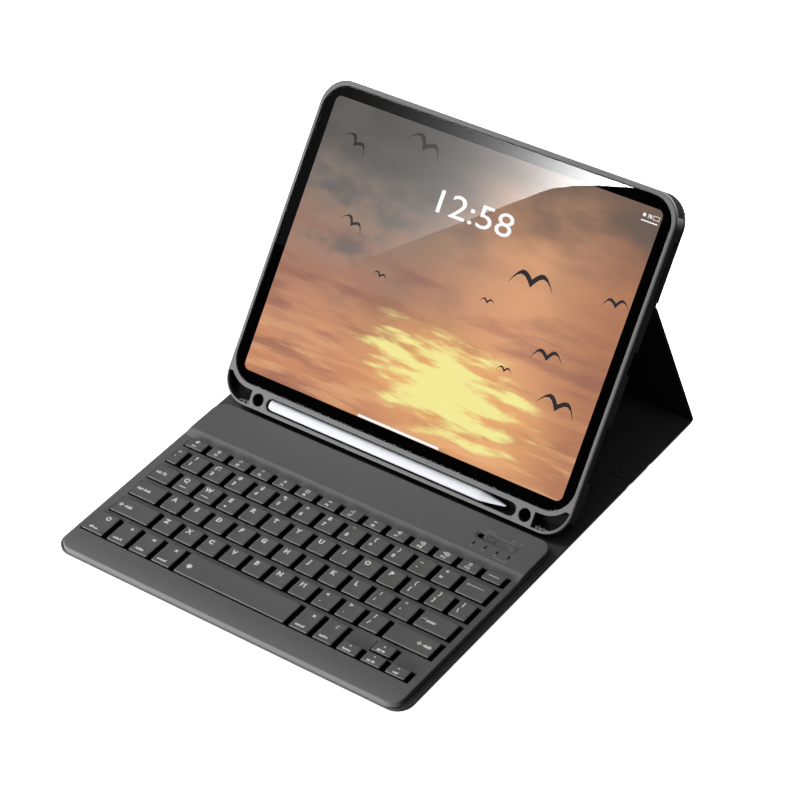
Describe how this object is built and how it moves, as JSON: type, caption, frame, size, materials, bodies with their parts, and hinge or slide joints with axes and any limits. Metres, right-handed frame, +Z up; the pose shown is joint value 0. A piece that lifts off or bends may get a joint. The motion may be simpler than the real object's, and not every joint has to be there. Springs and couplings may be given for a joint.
{
  "type": "tablet keyboard case",
  "caption": "Folio case set up as a stand, with a moulded tray holding a tablet and stylus and a low wireless keyboard lying on its front cover.",
  "frame": {"origin": "on the table under the front cover, halfway across and 128 mm in front of its rear crease", "axes": "+X to the user's right, +Y away from the user, +Z up"},
  "size_m": [0.2868, 0.3349, 0.1882],
  "materials": {
    "cover_leather": "fine pebble grain, matt",
    "cover_lining": "soft brushed microfibre",
    "stiffener_board": "fibre board",
    "tray_plastic": "soft matt moulding",
    "tray_felt": "felt",
    "glue_film": "clear film",
    "deck_plastic": "fine satin grain",
    "keycap_plastic": "satin with printed legends",
    "dome_rubber": "matt black",
    "support_steel": "plain",
    "membrane_film": "clear film",
    "circuit_laminate": "solder mask",
    "battery_foil": "pouch foil",
    "socket_metal": "stamped",
    "lens_plastic": "smoked",
    "screw_steel": "plain",
    "magnet_plating": "nickel plated",
    "foot_rubber": "matt",
    "switch_plastic": "satin",
    "tablet_metal": "anodised",
    "tablet_inside": null,
    "tablet_screen": "lit picture",
    "tablet_glass": "polished, black border",
    "stylus_plastic": "white gloss"
  },
  "bodies": {
    "front_cover": {"front_cover_skin": "cover_leather", "front_cover_board": "stiffener_board", "front_cover_lining": "cover_lining", "cover_discs": "magnet_plating"},
    "spine": {"spine_skin": "cover_leather", "spine_board": "stiffener_board", "spine_lining": "cover_lining"},
    "base_panel": {"base_panel_skin": "cover_leather", "base_panel_board": "stiffener_board", "base_panel_lining": "cover_lining"},
    "leg_panel": {"leg_panel_skin": "cover_leather", "leg_panel_board": "stiffener_board", "leg_panel_lining": "cover_lining"},
    "holder": {"back_cover_skin": "cover_leather", "back_cover_board": "stiffener_board", "back_cover_lining": "cover_lining", "adhesive_sheet": "glue_film", "tablet_tray": "tray_plastic", "tray_liner": "tray_felt"},
    "tablet": {"tablet_housing": "tablet_metal", "tablet_core": "tablet_inside", "tablet_display": "tablet_screen", "tablet_glass": "tablet_glass"},
    "stylus": {"stylus_barrel": "stylus_plastic", "stylus_tip": "stylus_plastic"},
    "keyboard": {"keyboard_bottom_case": "deck_plastic", "keyboard_top_case": "deck_plastic", "key_support_plate": "support_steel", "membrane_sheet": "membrane_film", "dome_sheet": "dome_rubber", "circuit_board": "circuit_laminate", "battery_cells": "battery_foil", "charge_socket": "socket_metal", "indicator_lenses": "lens_plastic", "case_screws": "screw_steel", "keyboard_magnets": "magnet_plating", "keyboard_feet": "foot_rubber"},
    "power_switch": {"power_switch": "switch_plastic"},
    "connect_button": {"connect_button": "switch_plastic"},
    "function_row_keys": {"function_row_keys": "keycap_plastic"},
    "number_row_keys": {"number_row_keys": "keycap_plastic"},
    "backspace_key": {"backspace_key": "keycap_plastic"},
    "tab_key": {"tab_key": "keycap_plastic"},
    "upper_letter_keys": {"upper_letter_keys": "keycap_plastic"},
    "caps_lock_key": {"caps_lock_key": "keycap_plastic"},
    "home_letter_keys": {"home_letter_keys": "keycap_plastic"},
    "enter_key": {"enter_key": "keycap_plastic"},
    "left_shift_key": {"left_shift_key": "keycap_plastic"},
    "lower_letter_keys": {"lower_letter_keys": "keycap_plastic"},
    "right_shift_key": {"right_shift_key": "keycap_plastic"},
    "fn_key": {"fn_key": "keycap_plastic"},
    "left_modifier_keys": {"left_modifier_keys": "keycap_plastic"},
    "space_bar": {"space_bar": "keycap_plastic"},
    "right_modifier_keys": {"right_modifier_keys": "keycap_plastic"},
    "left_arrow_key": {"left_arrow_key": "keycap_plastic"},
    "down_arrow_key": {"down_arrow_key": "keycap_plastic"},
    "up_arrow_key": {"up_arrow_key": "keycap_plastic"},
    "right_arrow_key": {"right_arrow_key": "keycap_plastic"}
  },
  "joints": [
    {"name": "stand_fold", "type": "hinge", "parent": "base_panel", "child": "leg_panel", "pos_m": [0, 0.20674, 0.0011], "axis": [-1, 0, 0], "range_deg": [0, 108.96]},
    {"name": "spine_fold", "type": "hinge", "parent": "front_cover", "child": "spine", "pos_m": [0, 0.128, 0.0011], "axis": [1, 0, 0], "range_deg": [0, 57.51]},
    {"name": "base_fold", "type": "hinge", "parent": "spine", "child": "base_panel", "pos_m": [0, 0.152, 0.0011], "axis": [1, 0, 0], "range_deg": [0, 57.51]},
    {"name": "holder_fold", "type": "hinge", "parent": "leg_panel", "child": "holder", "pos_m": [0, 0.16385, 0.12594], "axis": [1, 0, 0], "range_deg": [0, 59.09]},
    {"name": "tablet_lift", "type": "slide", "parent": "holder", "child": "tablet", "axis": [0, -0.7647, 0.6444], "range_m": [0, 0.03]},
    {"name": "stylus_lift", "type": "slide", "parent": "holder", "child": "stylus", "axis": [0, -0.7647, 0.6444], "range_m": [0, 0.02]},
    {"name": "keyboard_lift", "type": "slide", "parent": "front_cover", "child": "keyboard", "axis": [0, 0, 1], "range_m": [0, 0.03]},
    {"name": "power_slide", "type": "slide", "parent": "keyboard", "child": "power_switch", "axis": [-1, 0, 0], "range_m": [0, 0.0038]},
    {"name": "connect_press", "type": "slide", "parent": "keyboard", "child": "connect_button", "axis": [0, 0, -1], "range_m": [0, 0.0006], "stiffness_N_per_m": 800},
    {"name": "function_row_press", "type": "slide", "parent": "keyboard", "child": "function_row_keys", "axis": [0, 0, -1], "range_m": [0, 0.0012], "stiffness_N_per_m": 400},
    {"name": "number_row_press", "type": "slide", "parent": "keyboard", "child": "number_row_keys", "axis": [0, 0, -1], "range_m": [0, 0.0012], "stiffness_N_per_m": 400},
    {"name": "backspace_press", "type": "slide", "parent": "keyboard", "child": "backspace_key", "axis": [0, 0, -1], "range_m": [0, 0.0012], "stiffness_N_per_m": 400},
    {"name": "tab_press", "type": "slide", "parent": "keyboard", "child": "tab_key", "axis": [0, 0, -1], "range_m": [0, 0.0012], "stiffness_N_per_m": 400},
    {"name": "upper_letter_press", "type": "slide", "parent": "keyboard", "child": "upper_letter_keys", "axis": [0, 0, -1], "range_m": [0, 0.0012], "stiffness_N_per_m": 400},
    {"name": "caps_lock_press", "type": "slide", "parent": "keyboard", "child": "caps_lock_key", "axis": [0, 0, -1], "range_m": [0, 0.0012], "stiffness_N_per_m": 400},
    {"name": "home_letter_press", "type": "slide", "parent": "keyboard", "child": "home_letter_keys", "axis": [0, 0, -1], "range_m": [0, 0.0012], "stiffness_N_per_m": 400},
    {"name": "enter_press", "type": "slide", "parent": "keyboard", "child": "enter_key", "axis": [0, 0, -1], "range_m": [0, 0.0012], "stiffness_N_per_m": 400},
    {"name": "left_shift_press", "type": "slide", "parent": "keyboard", "child": "left_shift_key", "axis": [0, 0, -1], "range_m": [0, 0.0012], "stiffness_N_per_m": 400},
    {"name": "lower_letter_press", "type": "slide", "parent": "keyboard", "child": "lower_letter_keys", "axis": [0, 0, -1], "range_m": [0, 0.0012], "stiffness_N_per_m": 400},
    {"name": "right_shift_press", "type": "slide", "parent": "keyboard", "child": "right_shift_key", "axis": [0, 0, -1], "range_m": [0, 0.0012], "stiffness_N_per_m": 400},
    {"name": "fn_press", "type": "slide", "parent": "keyboard", "child": "fn_key", "axis": [0, 0, -1], "range_m": [0, 0.0012], "stiffness_N_per_m": 400},
    {"name": "left_modifier_press", "type": "slide", "parent": "keyboard", "child": "left_modifier_keys", "axis": [0, 0, -1], "range_m": [0, 0.0012], "stiffness_N_per_m": 400},
    {"name": "space_bar_press", "type": "slide", "parent": "keyboard", "child": "space_bar", "axis": [0, 0, -1], "range_m": [0, 0.0012], "stiffness_N_per_m": 400},
    {"name": "right_modifier_press", "type": "slide", "parent": "keyboard", "child": "right_modifier_keys", "axis": [0, 0, -1], "range_m": [0, 0.0012], "stiffness_N_per_m": 400},
    {"name": "left_arrow_press", "type": "slide", "parent": "keyboard", "child": "left_arrow_key", "axis": [0, 0, -1], "range_m": [0, 0.0012], "stiffness_N_per_m": 400},
    {"name": "down_arrow_press", "type": "slide", "parent": "keyboard", "child": "down_arrow_key", "axis": [0, 0, -1], "range_m": [0, 0.0012], "stiffness_N_per_m": 400},
    {"name": "up_arrow_press", "type": "slide", "parent": "keyboard", "child": "up_arrow_key", "axis": [0, 0, -1], "range_m": [0, 0.0012], "stiffness_N_per_m": 400},
    {"name": "right_arrow_press", "type": "slide", "parent": "keyboard", "child": "right_arrow_key", "axis": [0, 0, -1], "range_m": [0, 0.0012], "stiffness_N_per_m": 400}
  ],
  "couplings": [
    {"joint": "spine_fold", "follows": "stand_fold", "ratio": 0.52771},
    {"joint": "base_fold", "follows": "stand_fold", "ratio": 0.52771},
    {"joint": "holder_fold", "follows": "stand_fold", "ratio": 0.54222}
  ]
}
